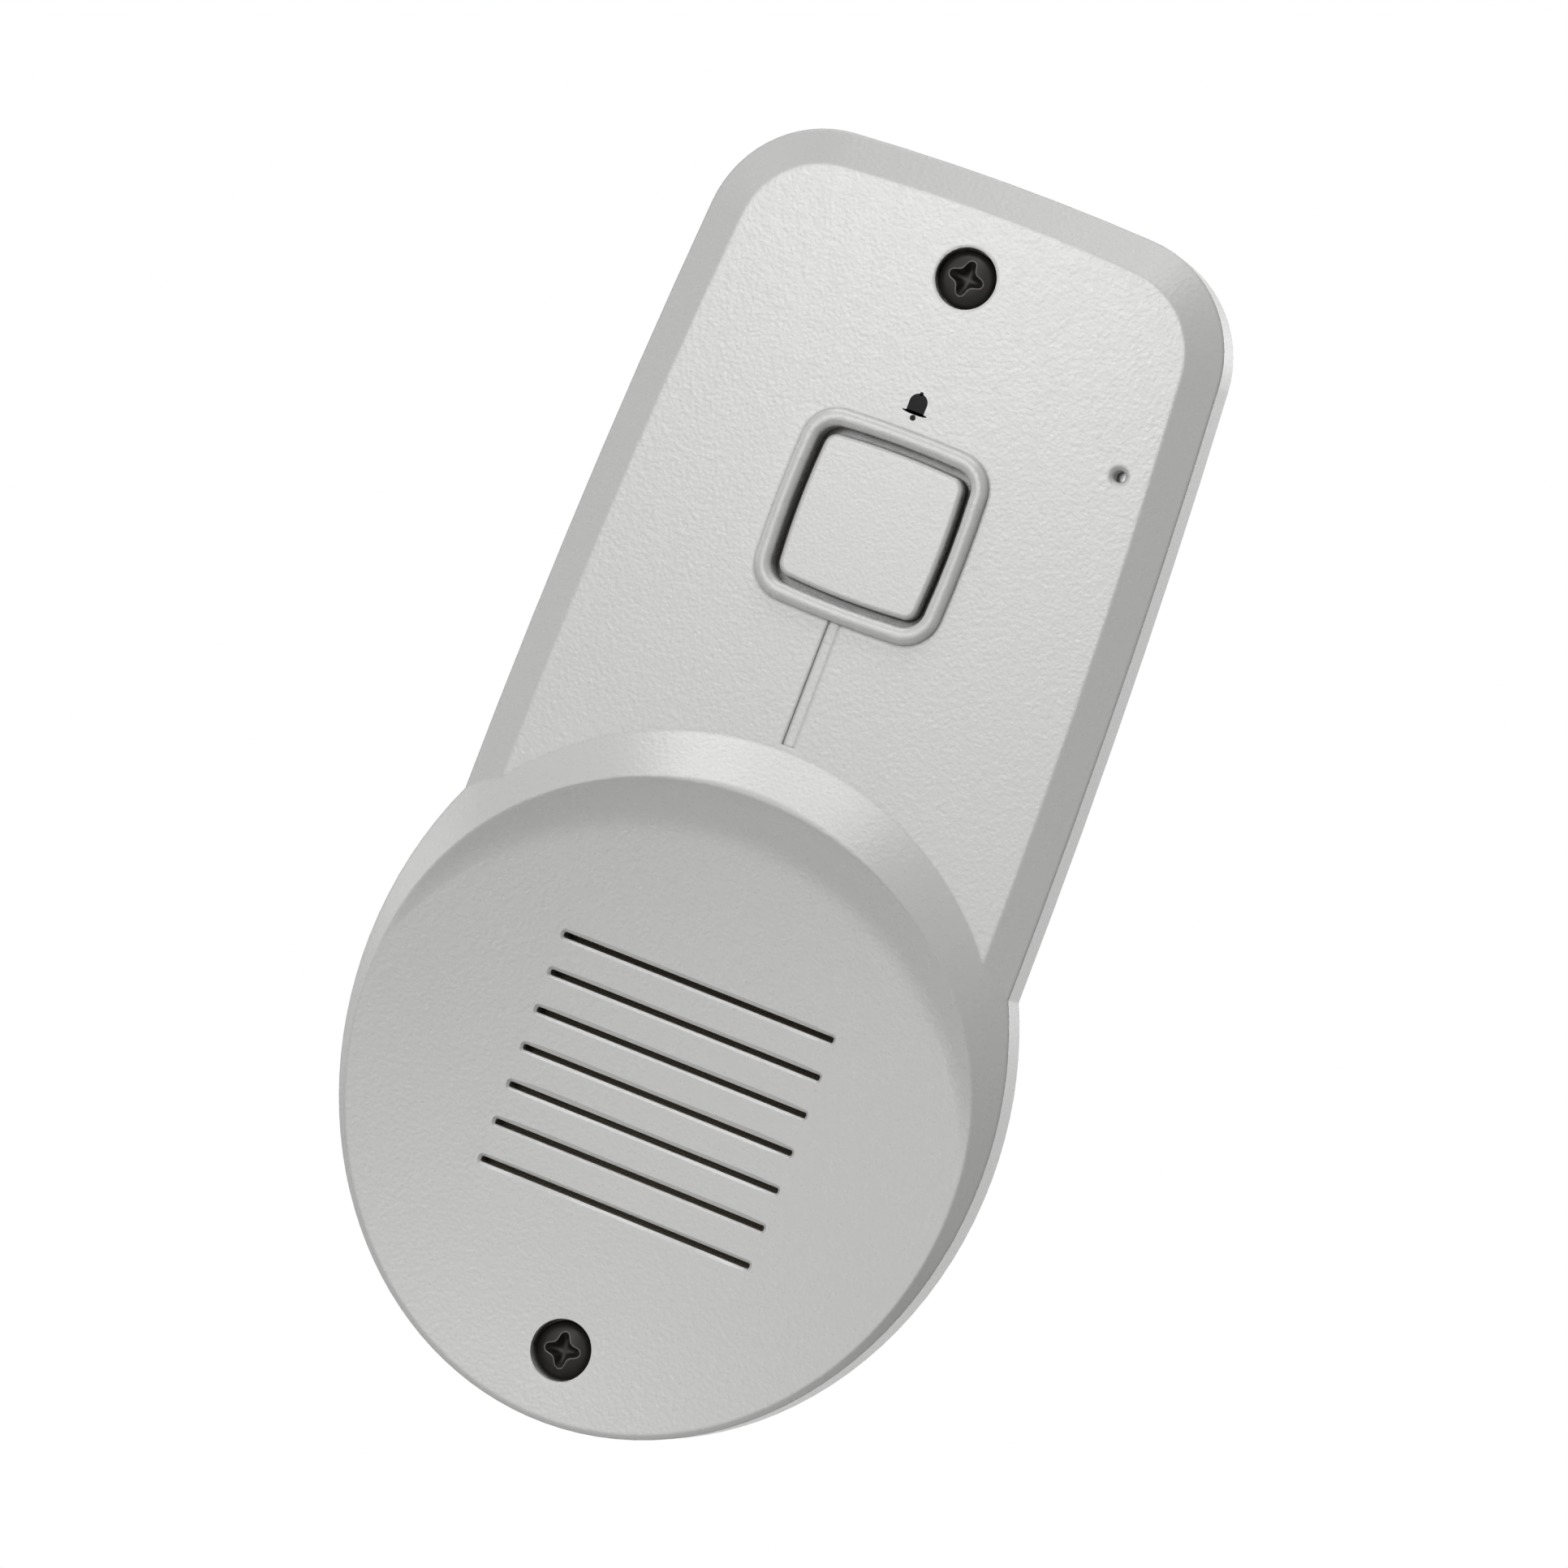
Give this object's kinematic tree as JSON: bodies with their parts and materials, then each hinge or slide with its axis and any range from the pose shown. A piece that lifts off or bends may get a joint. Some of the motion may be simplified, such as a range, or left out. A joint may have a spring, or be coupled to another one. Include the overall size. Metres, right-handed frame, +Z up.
{
  "type": "door call station",
  "caption": "Wall mounted door call station: a light grey bevelled plate with a square call key above a round hooded dish with speaker slots, held by black cross head screws.",
  "frame": {"origin": "on the wall's surface, midway between the two wall screw holes", "axes": "+Z up along the plate, the front with the call key faces -Y, the wall lies at Y = 0"},
  "size_m": [0.0678, 0.0252, 0.1321],
  "materials": {
    "cover_plastic": "fine spark eroded",
    "base_plastic": "matt",
    "key_plastic": "fine matt",
    "seal_rubber": "matt",
    "black_screw": "black oxide",
    "spring_steel": "bright",
    "zinc_steel": "zinc plated",
    "black_plastic": "matt",
    "switch_plastic": "matt",
    "board_laminate": "solder mask",
    "capsule_metal": "satin",
    "terminal_plastic": "moulded",
    "black_cloth": "woven",
    "foam": "matt",
    "cone_paper": "matt",
    "coil_wire": "enamelled",
    "ferrite": "sintered"
  },
  "bodies": {
    "housing": {"front_cover": "cover_plastic", "base_cover": "base_plastic", "weather_seal": "seal_rubber", "cover_screws": "black_screw", "key_spring": "spring_steel", "switch_body": "black_plastic", "circuit_board": "board_laminate", "board_screws": "zinc_steel", "microphone_boot": "seal_rubber", "microphone_capsule": "capsule_metal", "terminal_block": "terminal_plastic", "terminal_screws": "zinc_steel", "capacitors": "capsule_metal", "amplifier_chip": "black_plastic", "resistors": "black_plastic", "speaker_cloth": "black_cloth", "speaker_gasket": "foam", "speaker_frame": "zinc_steel", "speaker_surround": "foam", "speaker_top_plate": "zinc_steel", "speaker_magnet": "ferrite", "speaker_yoke": "zinc_steel", "clamp_screws": "zinc_steel"},
    "call_key": {"call_key": "key_plastic"},
    "switch_plunger": {"switch_plunger": "switch_plastic"},
    "speaker_cone": {"speaker_cone": "cone_paper", "voice_coil": "coil_wire", "dust_cap": "cone_paper"}
  },
  "joints": [
    {"name": "key_press", "type": "slide", "parent": "housing", "child": "call_key", "axis": [0, 1, 0], "range_m": [0, 0.001], "stiffness_N_per_m": 900, "springref_m": -0.0015, "deforming": ["key_spring"]},
    {"name": "switch_press", "type": "slide", "parent": "housing", "child": "switch_plunger", "axis": [0, 1, 0], "range_m": [0, 0.001]},
    {"name": "cone_travel", "type": "slide", "parent": "housing", "child": "speaker_cone", "axis": [0, 1, 0], "range_m": [-0.0003, 0.0003], "stiffness_N_per_m": 1200, "deforming": ["speaker_surround"]}
  ],
  "couplings": [
    {"joint": "switch_press", "follows": "key_press", "ratio": 1}
  ]
}
